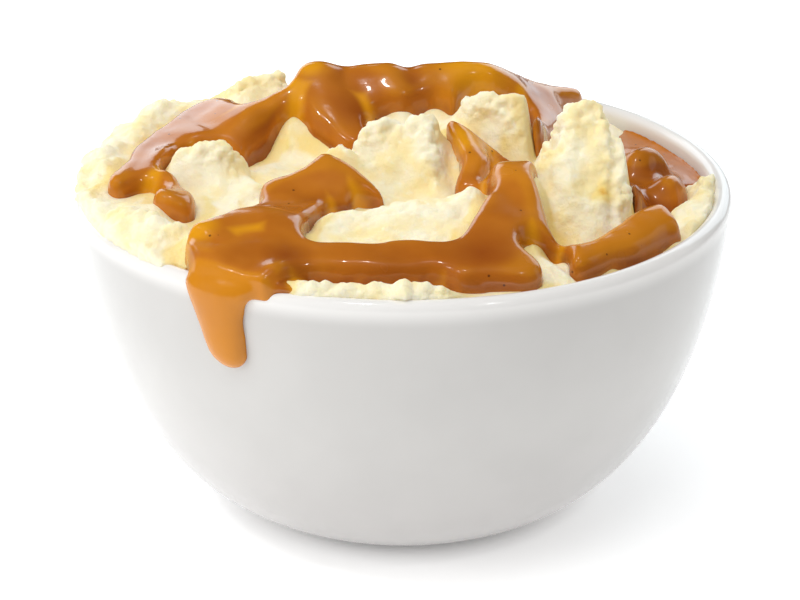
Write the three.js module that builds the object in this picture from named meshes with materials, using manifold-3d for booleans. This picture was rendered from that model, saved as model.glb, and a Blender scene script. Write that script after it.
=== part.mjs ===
// Mashed potato side: a small white bowl heaped with craggy mash, with thick gravy poured over
// it that runs down between the crags, pools at the right and drips once over the rim.
// Millimetres, +Z up. The origin is the centre of the foot, and +Y points to the back.
import * as THREE from 'three';
import { mergeVertices } from 'three/addons/utils/BufferGeometryUtils.js';
import Module from 'manifold-3d';

// Bowl
const BOWL_RADIUS = 65;
const BOWL_HEIGHT = 66;
const RIM_ROUND = 1.85;
const FOOT_RADIUS = 29.4;
const FOOT_RING_WIDTH = 5;
const FOOT_RECESS = 1.6;
const FOOT_CHAMFER = 0.8;
const WALL_POWER = 1.705;
const WALL_ROUNDNESS = 3.56;
const OUTER_DEPTH = 68.65;
const INNER_DEPTH = 62.5;
const INNER_RADIUS = BOWL_RADIUS - 2 * RIM_ROUND;
const ROUND_SIDES = 56;
const WALL_STEPS = 8;
const RIM_STEPS = 6;

// Food
const GAP = 0.3;
const HEAP_REACH = 64.3;
const HEAP_TOP = 120;
const FOOD_WALL_STEPS = 5;
const GRID_CELLS = 48;
const GRID_SIZE = 130;
const BLOCK_FLOOR = -10;
const CREST_ROUND = 1;
const CREST_POWER = 3;
const MASH_BLEND = 1;
const GRAVY_BLEND = 4;
const GRAVY_THICKNESS = 2.8;
const CREST_SUNK = 1;
const FLOW_WAVE = 0.9;
const SAMPLE_STEP = 0.9;
const SMALLEST_PATCH = 40;
const GRAVY_EDGE_FALL = 1.2;
const GRAVY_NAMES = ['gravy', 'gravy_pool'];
const POOL = { x: 52, y: 15, reachX: 14, reachY: 33, level: 62.3 };

// Drip over the front left of the rim
const DRIP_TIP_Z = 49.85;
const DRIP_GAP = 0.35;
const DRIP_INNER_RADIUS = 57.5;
const DRIP_CELLS_ACROSS = 8;
const DRIP_CELLS_ALONG = 18;
const DRIP_ANGLE = 240.9;
const DRIP_SPREAD = 3.2;
const DRIP_LEFT_FLARE = 6.3;
const DRIP_LEFT_TAPER = 16.5;
const DRIP_RIGHT_FLARE = 9;
const DRIP_RIGHT_TAPER = 1.6;
const DRIP_THICKNESS = 2.4;
const DRIP_EDGE = 0.25;
const DRIP_TIP_START = 0.86;

const LOOKS = {
  bowl: { color: 0xf3f2f0, roughness: 0.2, metalness: 0 },
  mash: { color: 0xf4e4b0, roughness: 0.75, metalness: 0 },
  gravy: { color: 0xb5691f, roughness: 0.15, metalness: 0 },
};

// A crag is a crest from one point to another, with how steeply the mash falls away from it to
// the front and back of the crest line and past its two ends.
const crag = (from, to, front, back, start, end) => ({ from, to, front, back, start, end });
const CRAGS = {
  leftBankFront: crag([-60, -20, 68.3], [-60, 6, 70], 0.4, 1.2, 0.5, 0.5),
  leftBankBack: crag([-60, 6, 69.5], [-52, 29, 71.5], 0.5, 1, 0.6, 0.8),
  backLeftBank: crag([-52, 29, 71], [-37, 41, 71], 0.8, 1, 0.6, 0.6),
  backLeftPeak: crag([-34, 37, 74], [-28, 40, 74.5], 1, 1, 1.3, 1.3),
  domeLeft: crag([-20, 22, 80], [-16.5, 22, 80.5], 0.75, 1, 1.8, 1.2),
  domeMiddle: crag([-9, 23, 79], [-3, 23.5, 80], 0.8, 1, 1, 1.2),
  domeRight: crag([5, 24, 79.5], [17, 25, 79.5], 0.8, 0.9, 1.2, 1),
  domeRun: crag([20, 28, 76], [39, 45, 66], 1, 0.8, 1, 1),
  backCrag: crag([15, 11.5, 79.5], [24.3, 10, 80.5], 2, 2, 1.1, 5),
  tongueBank: crag([9, 5, 75], [14, -9, 71], 0.9, 0.9, 1, 1),
  middleCrag: crag([-7.5, -2, 78], [4, -2.5, 79.3], 1, 1.5, 2.6, 1.6),
  tallCrag: crag([32.5, -9, 85], [38, -9.2, 85], 0.85, 2.2, 2.2, 6),
  tallCragShoulder: crag([27.5, -15, 77], [41.3, -15, 79], 0.85, 1.5, 1.5, 8),
  frontRidge: crag([-13, -32, 70.5], [13, -28.5, 73], 0.35, 0.6, 1, 1),
  frontSlope: crag([-24, -38, 69], [20, -37, 69.3], 0.25, 0.5, 0.6, 0.8),
  rightLobe: crag([17.5, -19, 73], [23.5, -19.5, 73.5], 0.35, 1, 2, 1.6),
  leftRidge: crag([-27, -20, 69], [-16.5, -14.5, 72], 0.7, 1.2, 0.8, 0.6),
  leftRidgePeak: crag([-15.5, -9.5, 74], [-12.5, -9, 74.5], 0.9, 1.3, 1.2, 0.7),
  frontLeftLobe: crag([-38, -43, 71], [-25, -37, 71], 0.42, 0.8, 2.5, 0.8),
  spillBank: crag([-34, -47.5, 67], [-23, -52, 67], 0.5, 0.6, 1, 1),
  frontLeftBank: crag([-53, -27, 69.8], [-42, -38, 70.8], 0.5, 0.8, 0.6, 0.8),
  leftCrag: crag([-44, -5, 73.5], [-37, -5.5, 75], 1, 1.2, 1.4, 1.4),
  leftShelfLow: crag([-52, -2, 68], [-40, 4.5, 69.5], 0.08, 0.05, 0.1, 0.8),
  leftShelf: crag([-40, 4.5, 69.5], [-30, 13, 73], 1.2, 0.15, 0.8, 0.8),
  leftShelfHigh: crag([-30, 13, 73], [-23, 18, 77], 1.4, 0.6, 0.8, 0.8),
  rightBead: crag([30, -46, 66], [48, -28, 68.3], 0.9, 1.2, 0.8, 0.8),
  rightRimStrip: crag([56, -26, 66.4], [60.5, -2, 66.8], 1, 1, 0.8, 0.8),
  poolCragFar: crag([47, 3, 68], [50, 6, 67.5], 1.6, 1.6, 1.6, 1.6),
  poolCragNear: crag([51.5, -7, 65.5], [53.5, -4, 65.5], 1.6, 1.6, 1.6, 1.6),
  frontLip: crag([-21, -57.8, 68], [8, -60.5, 67.7], 1.2, 1, 1, 1),
  frontSliver: crag([26, -46, 67], [28, -51, 66.5], 1, 1, 1, 1),
  behindLeft: crag([-14, 44, 73], [-4, 46, 73], 1, 1.2, 1.2, 1.2),
  behindRight: crag([10, 42, 73], [18, 44, 72.5], 1, 1.3, 1.2, 1.2),
  behindRim: crag([0, 55, 68.5], [6, 56, 68.5], 1, 1, 1, 1),
};

// A flow is a run of gravy seen from above: its two ends, each with x, y and half width.
const flow = (from, to) => ({ from, to });
const FLOWS = {
  domeLeft: flow([-18.5, 21.5, 4], [-7, 22, 5]),
  domeLeftFront: flow([-15, 13, 4.2], [-12, 8, 3.5]),
  domeMiddle: flow([-4, 22, 4], [17, 24, 4]),
  domeMiddleFront: flow([-4, 17, 3], [9, 18, 2.5]),
  domeRun: flow([20, 26, 4], [37, 44, 3]),
  domeRunLow: flow([27.5, 8, 1.8], [31, 30, 4]),
  tongueHigh: flow([9, 5, 1.2], [14, -6, 4]),
  tongueLow: flow([14, -6, 4], [13, -15, 3]),
  backCragPuddle: flow([16, 2.5, 1.2], [23, 0.5, 1.2]),
  rightLobe: flow([20.5, -20, 5.2], [21.5, -28, 3.2]),
  rightLobeLow: flow([21.5, -28, 3.2], [16, -44, 5]),
  rightLobeFoot: flow([23, -30, 3], [26.5, -41, 1.6]),
  frontBand: flow([-26, -51, 4.8], [18, -51, 5]),
  frontLeft: flow([-37.5, -45, 2.6], [-27, -39, 4]),
  spill: flow([-34.5, -49.5, 4.5], [-30, -58, 6.5]),
  spillRight: flow([-25, -50, 4], [-23, -56, 3]),
  frontRight: flow([11, -55, 4], [22, -54, 3.6]),
  leftRidge: flow([-25, -21, 3], [-16, -16, 3.5]),
  leftRidgePeak: flow([-15, -12, 2], [-4, -19, 1.4]),
  leftRidgeFace: flow([-15, -15, 3.5], [-12, -22, 2.4]),
  leftRidgeRun: flow([-20, -23, 4.5], [-28, -35, 5.5]),
  leftCragPatch: flow([-45, -11.5, 1.2], [-43, -23, 4.8]),
  leftShelfNear: flow([-54.5, -9, 4], [-48, 4, 5]),
  leftShelfFar: flow([-47, 6, 5], [-39, 21, 6]),
  leftShelfCrest: flow([-40, 6, 2.5], [-27, 15, 3.4]),
  leftShelfFace: flow([-33, 5, 3], [-27, 11, 2.2]),
  rightBead: flow([31, -45, 1.8], [47.5, -27.5, 2.6]),
  rightBeadRim: flow([31.5, -48.5, 2.2], [50, -31, 2.6]),
  poolCragFar: flow([47, 3, 1.6], [50.5, 7, 1.6]),
  poolCragNear: flow([51, -7.5, 1], [52.5, -3, 1.4]),
  crevice: flow([44, -18, 0.8], [45.5, 2, 1.6]),
  behindMiddle: flow([-2, 30, 5], [0, 50, 2.5]),
  behindLeft: flow([-16, 30, 4], [-22, 46, 2]),
  behindRight: flow([12, 32, 5], [18, 52, 2]),
};

// Spots that the gravy leaves bare although a flow passes them.
const BARE_EDGE = 2.5;
const BARE_SPOTS = {
  middle: flow([4.5, 13, 1], [6.5, 14.5, 0.8]),
  sliver: flow([26.5, -45, 0.3], [28, -52, 0.8]),
};

const clamp = THREE.MathUtils.clamp;
const lerp = THREE.MathUtils.lerp;

// Smooth noise between -1 and 1, with a fixed value at every whole-numbered point.
function cornerValue(i, j) {
  const value = Math.sin(i * 127.1 + j * 311.7) * 43758.5453;
  return value - Math.floor(value);
}

function noise(x, y) {
  const i = Math.floor(x);
  const j = Math.floor(y);
  const u = THREE.MathUtils.smoothstep(x - i, 0, 1);
  const v = THREE.MathUtils.smoothstep(y - j, 0, 1);
  const near = lerp(cornerValue(i, j), cornerValue(i + 1, j), u);
  const far = lerp(cornerValue(i, j + 1), cornerValue(i + 1, j + 1), u);
  return 2 * lerp(near, far, v) - 1;
}

// The larger of two heights, with the crease between them filled over a blend width.
function blendedMax(a, b, width) {
  const share = clamp(0.5 + (a - b) / (2 * width), 0, 1);
  return lerp(b, a, share) + width * share * (1 - share);
}

function cragHeight({ from, to, front, back, start, end }, x, y) {
  const length = Math.hypot(to[0] - from[0], to[1] - from[1]);
  const ux = (to[0] - from[0]) / length;
  const uy = (to[1] - from[1]) / length;
  const along = (x - from[0]) * ux + (y - from[1]) * uy;
  const across = (y - from[1]) * ux - (x - from[0]) * uy;
  const crest = lerp(from[2], to[2], clamp(along / length, 0, 1));
  const pastEnd = Math.max(-along * start, (along - length) * end, 0);
  const aside = across < 0 ? -across * front : across * back;
  const sum = pastEnd ** CREST_POWER + aside ** CREST_POWER + CREST_ROUND ** CREST_POWER;
  return crest - Math.cbrt(sum) + CREST_ROUND;
}

// The mash without its crags: a low dome, higher at the back, with a hollow at the right.
function domeHeight(x, y) {
  const dome = 62.5 + 5.5 * (1 - (x * x + y * y) / (66 * 66)) + 2 * clamp(y / 60, -1, 1);
  const hollow = 7 * Math.exp(-(((x - 53) / 13) ** 2) - ((y - 15) / 26) ** 2);
  const frontRise = 2 * Math.exp(-(((y + 58) / 14) ** 2));
  return dome - hollow + frontRise;
}

// Height of the mash. The crags are bent a little by noise, and creases filled by the blend.
function mashHeight(x, y, blend, bend) {
  const bentX = x + bend * (1.6 * noise(x / 9, y / 9) + 0.7 * noise(x / 3.5 + 7, y / 3.5));
  const bentY = y + bend * (1.6 * noise(x / 9 + 31, y / 9 + 17) + 0.7 * noise(x / 3.5, y / 3.5 + 53));
  let height = domeHeight(x, y);
  for (const one of Object.values(CRAGS)) {
    height = blendedMax(height, cragHeight(one, bentX, bentY), blend);
  }
  return height;
}

// Distance outside a flow, negative inside it.
function outsideFlow({ from, to }, x, y) {
  const dx = to[0] - from[0];
  const dy = to[1] - from[1];
  const along = clamp(((x - from[0]) * dx + (y - from[1]) * dy) / (dx * dx + dy * dy), 0, 1);
  const away = Math.hypot(x - from[0] - along * dx, y - from[1] - along * dy);
  return away - lerp(from[2], to[2], along);
}

// Distance outside all the flows, whose edges wave a little, or inside a bare spot.
function outsideGravy(x, y) {
  const wavyX = x + FLOW_WAVE * noise(x / 5 + 3, y / 5);
  const wavyY = y + FLOW_WAVE * noise(x / 5, y / 5 + 9);
  const fromFlows = Object.values(FLOWS).map((run) => outsideFlow(run, wavyX, wavyY));
  const intoSpots = Object.values(BARE_SPOTS).map((spot) => BARE_EDGE - outsideFlow(spot, wavyX, wavyY));
  return Math.max(Math.min(...fromFlows), ...intoSpots);
}

// The gravy's centre points: the mash under its flows, with the creases well filled, and never
// more than a little under a sharp crest.
function gravySamples() {
  const samples = [];
  for (let x = -HEAP_REACH; x <= HEAP_REACH; x += SAMPLE_STEP) {
    for (let y = -HEAP_REACH; y <= HEAP_REACH; y += SAMPLE_STEP) {
      if (Math.hypot(x, y) < HEAP_REACH && outsideGravy(x, y) < 0) {
        const filled = mashHeight(x, y, GRAVY_BLEND, 0.5);
        samples.push([x, y, Math.max(filled, mashHeight(x, y, MASH_BLEND, 1) - CREST_SUNK)]);
      }
    }
  }
  return samples;
}

// Height of the gravy: the upper side of a ball rolled along its flows, or the pool's level.
// Past the ball's edge it sinks steadily under the mash.
function gravyHeight(x, y, samples) {
  const pastEdge = outsideGravy(x, y) - GRAVY_THICKNESS;
  const sunk = clamp(pastEdge * GRAVY_EDGE_FALL, 0, GRAVY_THICKNESS);
  let height = mashHeight(x, y, MASH_BLEND, 1) - sunk;
  for (const [sx, sy, sz] of samples) {
    const reach = GRAVY_THICKNESS ** 2 - (x - sx) ** 2 - (y - sy) ** 2;
    if (reach > 0) {
      height = Math.max(height, sz + Math.sqrt(reach));
    }
  }
  const poolX = (x - POOL.x) / POOL.reachX;
  const poolY = (y - POOL.y) / POOL.reachY;
  return poolX * poolX + poolY * poolY < 1 ? Math.max(height, POOL.level) : height;
}

// Solids are joined and cut as closed meshes with shared vertices.
const wasm = await Module();
wasm.setup();

function solidOf(geometry) {
  geometry.deleteAttribute('normal');
  geometry.deleteAttribute('uv');
  const merged = mergeVertices(geometry);
  const corners = merged.index.array;
  const kept = [];
  for (let i = 0; i < corners.length; i += 3) {
    const [a, b, c] = corners.slice(i, i + 3);
    if (a !== b && b !== c && c !== a) {
      kept.push(a, b, c);
    }
  }
  const vertProperties = new Float32Array(merged.attributes.position.array);
  return new wasm.Manifold(new wasm.Mesh({ numProp: 3, vertProperties, triVerts: new Uint32Array(kept) }));
}

function meshOf(name, solid, look) {
  const { vertProperties, triVerts } = solid.getMesh();
  const geometry = new THREE.BufferGeometry();
  geometry.setAttribute('position', new THREE.BufferAttribute(vertProperties, 3));
  geometry.setIndex(new THREE.BufferAttribute(triVerts, 1));
  geometry.computeVertexNormals();
  const mesh = new THREE.Mesh(geometry, new THREE.MeshStandardMaterial(look));
  mesh.name = name;
  return mesh;
}

// Separate bodies of a solid, the largest first.
function bodiesOf(solid) {
  return solid.decompose().sort((a, b) => b.volume() - a.volume());
}

// A solid turned round +Z from a profile of [radius, height] points.
function turned(profile) {
  const points = profile.map(([radius, height]) => new THREE.Vector2(radius, height));
  return solidOf(new THREE.LatheGeometry(points, ROUND_SIDES).rotateX(Math.PI / 2));
}

// A block whose top follows a height function.
function heightBlock(height) {
  const block = new THREE.BoxGeometry(GRID_SIZE, GRID_SIZE, 2, GRID_CELLS, GRID_CELLS, 1);
  const place = block.attributes.position;
  for (let i = 0; i < place.count; i += 1) {
    const isTop = place.getZ(i) > 0;
    place.setZ(i, isTop ? height(place.getX(i), place.getY(i)) : BLOCK_FLOOR);
  }
  return solidOf(block);
}

const outerRadius = (z) =>
  BOWL_RADIUS * (1 - ((BOWL_HEIGHT - z) / OUTER_DEPTH) ** WALL_POWER) ** (1 / WALL_ROUNDNESS);
const innerRadius = (z) =>
  INNER_RADIUS * Math.max(1 - ((BOWL_HEIGHT - z) / INNER_DEPTH) ** WALL_POWER, 0) ** (1 / WALL_ROUNDNESS);

// Inside of the bowl from the middle of its floor up to the rim, with a gap to the wall. The
// steps are closer at the floor, where the wall turns up.
function innerProfile(gap, steps) {
  const floor = BOWL_HEIGHT - INNER_DEPTH;
  const rimBase = BOWL_HEIGHT - RIM_ROUND;
  const profile = [[0, floor + gap]];
  for (let step = 1; step <= steps; step += 1) {
    const z = lerp(floor, rimBase, (step / steps) ** 2.4);
    profile.push([innerRadius(z) - gap, z + gap * (1 - step / steps)]);
  }
  return profile;
}

function bowlSolid() {
  const rimBase = BOWL_HEIGHT - RIM_ROUND;
  const footInner = FOOT_RADIUS - FOOT_RING_WIDTH;
  const foot = [
    [0, FOOT_RECESS],
    [footInner, FOOT_RECESS],
    [footInner + FOOT_CHAMFER, 0],
    [FOOT_RADIUS - FOOT_CHAMFER, 0],
    [FOOT_RADIUS, FOOT_CHAMFER],
  ];
  const wall = [];
  for (let step = 1; step < WALL_STEPS; step += 1) {
    const z = lerp(FOOT_CHAMFER, rimBase, (step / WALL_STEPS) ** 1.8);
    wall.push([outerRadius(z), z]);
  }
  const rim = [];
  for (let step = 0; step <= RIM_STEPS; step += 1) {
    const angle = (Math.PI * step) / RIM_STEPS;
    rim.push([BOWL_RADIUS - RIM_ROUND + RIM_ROUND * Math.cos(angle), rimBase + RIM_ROUND * Math.sin(angle)]);
  }
  const inside = innerProfile(0, WALL_STEPS).slice(0, -1).reverse();
  return turned([...foot, ...wall, ...rim, ...inside]);
}

// The room that the food may fill: the bowl's inside, and the air above the rim.
function foodRoom() {
  const overRim = BOWL_HEIGHT + GAP;
  const wall = innerProfile(GAP, FOOD_WALL_STEPS);
  const [wallRadius] = wall[wall.length - 1];
  const above = [[wallRadius, overRim], [HEAP_REACH, overRim], [HEAP_REACH, HEAP_TOP], [0, HEAP_TOP]];
  return turned([...wall, ...above]);
}

// Centre line of the drip in the upright plane through it, from 0 over the mash to 1 at the
// tip: its radius, height, the direction away from the bowl, and how far past the crest it is.
function dripLine(share) {
  const rimRadius = BOWL_RADIUS - RIM_ROUND;
  const rimBase = BOWL_HEIGHT - RIM_ROUND;
  const bend = RIM_ROUND + DRIP_GAP;
  const runIn = rimRadius - DRIP_INNER_RADIUS;
  const turn = (bend * Math.PI) / 2;
  const fall = rimBase - DRIP_TIP_Z;
  const past = share * (runIn + turn + fall) - runIn;
  if (past < 0) {
    return { radius: rimRadius + past, z: rimBase + bend, outR: 0, outZ: 1, past: 0 };
  }
  if (past < turn) {
    const angle = Math.PI / 2 - past / bend;
    const [outR, outZ] = [Math.cos(angle), Math.sin(angle)];
    return { radius: rimRadius + bend * outR, z: rimBase + bend * outZ, outR, outZ, past };
  }
  const z = rimBase - (past - turn);
  return { radius: outerRadius(z) + DRIP_GAP, z, outR: 1, outZ: 0, past };
}

// The drip is a box wrapped along its line: wide where it leaves the rim, then narrowing at
// its left side all the way down and at its right side at once, to a bead with a round tip.
function dripSolid() {
  const box = new THREE.BoxGeometry(2, 1, 1, DRIP_CELLS_ACROSS, DRIP_CELLS_ALONG, 1);
  const place = box.attributes.position;
  for (let i = 0; i < place.count; i += 1) {
    const across = place.getX(i);
    const share = 0.5 - place.getY(i);
    const isOuter = place.getZ(i) > 0;
    const { radius, z, outR, outZ, past } = dripLine(share);
    const leftFlare = DRIP_LEFT_FLARE * Math.max(1 - past / DRIP_LEFT_TAPER, 0);
    const rightFlare = DRIP_RIGHT_FLARE * Math.exp(-past / DRIP_RIGHT_TAPER);
    const intoTip = clamp((share - DRIP_TIP_START) / (1 - DRIP_TIP_START), 0, 0.995);
    const tip = Math.sqrt(1 - intoTip * intoTip);
    const spread = tip * (DRIP_SPREAD + (across < 0 ? leftFlare : rightFlare));
    const angle = THREE.MathUtils.degToRad(DRIP_ANGLE + across * spread);
    const crown = DRIP_EDGE + DRIP_THICKNESS * tip * Math.sqrt(1 - 0.98 * across * across);
    const out = isOuter ? crown : 0;
    const reach = radius + out * outR;
    place.setXYZ(i, reach * Math.cos(angle), reach * Math.sin(angle), z + out * outZ);
  }
  return solidOf(box);
}

function mashSolid(room) {
  const heap = heightBlock((x, y) => mashHeight(x, y, MASH_BLEND, 1));
  return bodiesOf(heap.intersect(room))[0];
}

// The gravy lies on the mash and fills up to its own height. Parts that don't meet are patches.
function gravySolids(room) {
  const samples = gravySamples();
  const full = heightBlock((x, y) => gravyHeight(x, y, samples));
  const under = heightBlock((x, y) => mashHeight(x, y, MASH_BLEND, 1) + GAP);
  const drip = dripSolid().subtract(under.intersect(room));
  const poured = full.subtract(under).intersect(room).add(drip);
  return bodiesOf(poured).filter((body) => body.volume() > SMALLEST_PATCH);
}

const side = new THREE.Group();
const room = foodRoom();
side.add(meshOf('bowl', bowlSolid(), LOOKS.bowl));
side.add(meshOf('mash', mashSolid(room), LOOKS.mash));
gravySolids(room).forEach((body, i) => {
  side.add(meshOf(GRAVY_NAMES[i], body, LOOKS.gravy));
});

export default side;
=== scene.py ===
# %% [markdown]
# # A bowl of mashed potato with gravy
#
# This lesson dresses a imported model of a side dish: a white glazed bowl, a heap of craggy mash
# and a thick brown gravy that runs between the crags and drips once over the rim. The packed
# solids give the sizes and places. Here each one gets a fine mesh and a finish of its own.

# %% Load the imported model
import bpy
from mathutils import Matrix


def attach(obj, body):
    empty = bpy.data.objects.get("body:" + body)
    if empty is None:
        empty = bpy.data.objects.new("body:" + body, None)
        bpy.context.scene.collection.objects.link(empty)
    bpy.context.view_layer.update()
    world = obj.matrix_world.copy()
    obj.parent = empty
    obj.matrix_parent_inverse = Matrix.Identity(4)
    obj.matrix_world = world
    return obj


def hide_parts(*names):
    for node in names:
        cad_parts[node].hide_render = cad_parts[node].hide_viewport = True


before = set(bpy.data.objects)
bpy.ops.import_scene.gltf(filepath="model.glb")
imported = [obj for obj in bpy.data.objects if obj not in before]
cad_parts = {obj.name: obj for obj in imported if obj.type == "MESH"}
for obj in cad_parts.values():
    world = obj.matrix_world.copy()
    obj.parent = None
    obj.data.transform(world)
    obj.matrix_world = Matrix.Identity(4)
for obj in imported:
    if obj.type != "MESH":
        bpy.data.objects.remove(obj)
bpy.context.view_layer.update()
print("nodes:", sorted(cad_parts))

# %% Libraries and units
import itertools
import math

import bmesh
import bpy
import numpy as np
from mathutils import Vector

MM = 0.001
print("one millimetre is", MM, "of a scene unit")

# %% [markdown]
# ## Camera
#
# The dish is seen from 23 degrees above level with a long lens, so the rim is a calm ellipse and
# the wall hardly tapers from perspective. A camera that looks straight at a point on the bowl's
# axis needs no shift, which keeps every other view of the dish centred too.

# %% Camera
LOOK_DOWN = math.radians(23)
CAMERA_DISTANCE = 480 * MM
CAMERA_TARGET = Vector((-0.64, 0, 39.3)) * MM
LENS = 106.2

camera_data = bpy.data.cameras.new("camera")
camera_data.lens = LENS
camera_data.clip_start = 10 * MM
camera = bpy.data.objects.new("camera", camera_data)
camera.rotation_euler = (math.pi / 2 - LOOK_DOWN, 0, 0)
to_camera = Vector((0, -math.cos(LOOK_DOWN), math.sin(LOOK_DOWN)))
camera.location = CAMERA_TARGET + CAMERA_DISTANCE * to_camera
bpy.context.scene.collection.objects.link(camera)
bpy.context.scene.camera = camera
print("camera at", [round(value, 3) for value in camera.location])

# %% [markdown]
# ## Light
#
# Food on white is lit softly from all round, with a stronger panel at the left, so the bowl goes
# from white at the left to grey at the right. The soft panels don't show in the gloss, which
# would wash out the brown of the gravy. Two low panels behind the dish do: they skim over the
# level gravy at the left and right and give it a pale sheen, and the gap between them leaves the
# middle deep in colour. Three small lamps add the hard white sparkles.


# %% Light panels
def add_panel(name, place, size, watts, colour=(1, 1, 1), in_gloss=True):
    """A rectangular light at a place in metres that faces the dish."""
    data = bpy.data.lights.new(name, "AREA")
    data.shape = "RECTANGLE"
    data.size, data.size_y = size
    data.energy = watts
    data.color = colour
    panel = bpy.data.objects.new(name, data)
    panel.location = place
    panel.visible_glossy = in_gloss
    panel.rotation_euler = (CAMERA_TARGET - Vector(place)).to_track_quat("-Z", "Y").to_euler()
    bpy.context.scene.collection.objects.link(panel)
    return panel


COOL = (0.82, 0.93, 1.0)
ROOM_LIGHT = 0.21
PANELS = [
    add_panel("left_panel", (-1.1, -0.45, 0.42), (0.7, 0.7), 4.8, in_gloss=False),
    add_panel("right_panel", (1.1, 0.25, 0.35), (0.5, 0.6), 0.4),
    add_panel("back_left_panel", (-0.32, 0.5, 0.27), (0.5, 0.36), 1.1, colour=COOL),
    add_panel("back_right_panel", (0.29, 0.5, 0.27), (0.4, 0.36), 0.85, colour=COOL),
    add_panel("top_panel", (-0.1, 0.0, 1.3), (1.3, 1.3), 6.5, in_gloss=False),
    add_panel("front_panel", (-0.3, -0.6, 1.2), (0.8, 0.8), 4.2, in_gloss=False),
    add_panel("left_sparkle", (-0.5, -0.25, 0.75), (0.06, 0.06), 0.7),
    add_panel("right_sparkle", (0.35, -0.5, 0.7), (0.05, 0.05), 0.35),
    add_panel("top_sparkle", (-0.12, -0.1, 0.95), (0.06, 0.06), 0.7),
]
world = bpy.data.worlds.new("white_room")
world.use_nodes = True
world.node_tree.nodes["Background"].inputs["Color"].default_value = (1, 1, 1, 1)
world.node_tree.nodes["Background"].inputs["Strength"].default_value = ROOM_LIGHT
world.cycles_visibility.glossy = False
bpy.context.scene.world = world
bpy.context.scene.view_settings.view_transform = "Standard"
print("lights:", [panel.name for panel in PANELS])

# %% [markdown]
# ## Shader sums
#
# A finish is a small sum of patterns, and sums read best as Python. The class below wraps one
# output of a node. Adding or multiplying two of them adds a Math node, and the node method adds
# any other kind: its settings are set first, then its inputs are filled or linked.


# %% A socket that takes part in sums
class Wire:
    """One output socket of a material's nodes."""

    def __init__(self, tree, socket=None):
        self.tree = tree
        self.socket = socket

    def node(self, kind, settings=(), inputs=(), output=0):
        """Adds a node and returns a wire from one of its outputs."""
        made = self.tree.nodes.new(kind)
        for name, value in dict(settings).items():
            setattr(made, name, value)
        for name, value in dict(inputs).items():
            if isinstance(value, Wire):
                self.tree.links.new(value.socket, made.inputs[name])
            else:
                made.inputs[name].default_value = value
        return Wire(self.tree, made.outputs[output])

    def sum(self, operation, first, second):
        return self.node("ShaderNodeMath", {"operation": operation}, {0: first, 1: second})

    def __add__(self, other):
        return self.sum("ADD", self, other)

    def __radd__(self, other):
        return self.sum("ADD", other, self)

    def __sub__(self, other):
        return self.sum("SUBTRACT", self, other)

    def __rsub__(self, other):
        return self.sum("SUBTRACT", other, self)

    def __mul__(self, other):
        return self.sum("MULTIPLY", self, other)

    def __rmul__(self, other):
        return self.sum("MULTIPLY", other, self)

    def between(self, low, high):
        """0 below low, 1 above high, and smooth between them."""
        ends = {"Value": self, "From Min": low, "From Max": high}
        return self.node("ShaderNodeMapRange", {"interpolation_type": "SMOOTHSTEP"}, ends)

    def blend(self, first, second):
        """A colour that goes from the first to the second as this wire goes from 0 to 1."""
        return self.node("ShaderNodeMix", {"data_type": "RGBA"}, {0: self, 6: first, 7: second}, 2)


print("shader sums ready")


# %% A new finish
def new_finish(name):
    """A material with a Principled shader, and a wire to start its sums from."""
    finish = bpy.data.materials.new(name)
    finish.use_nodes = True
    return finish, finish.node_tree.nodes["Principled BSDF"], Wire(finish.node_tree)


def lumps(start, size, detail=3.0, roughness=0.5):
    """Noise between 0 and 1 with lumps of a size in metres, fixed to the piece."""
    place = start.node("ShaderNodeTexCoord", output="Object")
    return start.node(
        "ShaderNodeTexNoise",
        inputs={"Vector": place, "Scale": 1 / size, "Detail": detail, "Roughness": roughness},
    )


def connect(finish, shader, links):
    for name, wire in links.items():
        finish.node_tree.links.new(wire.socket, shader.inputs[name])


def bump(start, height, depth):
    """Small relief: height from 0 to 1 over a depth in metres."""
    return start.node("ShaderNodeBump", inputs={"Height": height, "Distance": depth, "Strength": 1.0})


def srgb(red, green, blue):
    """A colour as the screen shows it, from 0 to 255, in the shader's linear values."""
    shown = np.array((red, green, blue)) / 255
    linear = np.where(shown <= 0.04045, shown / 12.92, ((shown + 0.055) / 1.055) ** 2.4)
    return (*linear.tolist(), 1)


print("pale cream is", [round(value, 2) for value in srgb(250, 240, 200)])

# %% [markdown]
# ## Floor
#
# A white sweep, wide enough to fill the view. It is stage, not part of the dish. Away from the
# foot it glows faintly, so that it stays pure white there and the shadow keeps to the foot.

# %% Floor
FLOOR_HALF = 4.0
SHADOW_FROM, SHADOW_TO = 26 * MM, 41 * MM
FLOOR_GLOW = 0.4
floor_mesh = bpy.data.meshes.new("floor")
shape = bmesh.new()
bmesh.ops.create_grid(shape, x_segments=1, y_segments=1, size=FLOOR_HALF)
shape.to_mesh(floor_mesh)
shape.free()
floor = bpy.data.objects.new("floor", floor_mesh)
bpy.context.scene.collection.objects.link(floor)
floor_finish, floor_shader, start = new_finish("white_sweep")
floor_shader.inputs["Base Color"].default_value = (0.98, 0.98, 0.98, 1)
floor_shader.inputs["Roughness"].default_value = 0.9
place = start.node("ShaderNodeTexCoord", output="Object")
from_foot = start.node("ShaderNodeVectorMath", {"operation": "LENGTH"}, {0: place}, output="Value")
glow = from_foot.between(SHADOW_FROM, SHADOW_TO).blend((0, 0, 0, 1), (1, 1, 1, 1))
connect(floor_finish, floor_shader, {"Emission Color": glow})
floor_shader.inputs["Emission Strength"].default_value = FLOOR_GLOW
floor_mesh.materials.append(floor_finish)
print("floor", 2 * FLOOR_HALF, "m wide")

# %% [markdown]
# ## Bowl
#
# The bowl is thrown on a wheel, so it is modelled the same way: half of its section, from the
# middle of the foot up the outside, over the rounded rim and down the inside, is spun once round
# the axis. The wall follows one power curve, steep at the rim and turning in fast to the foot.

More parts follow.
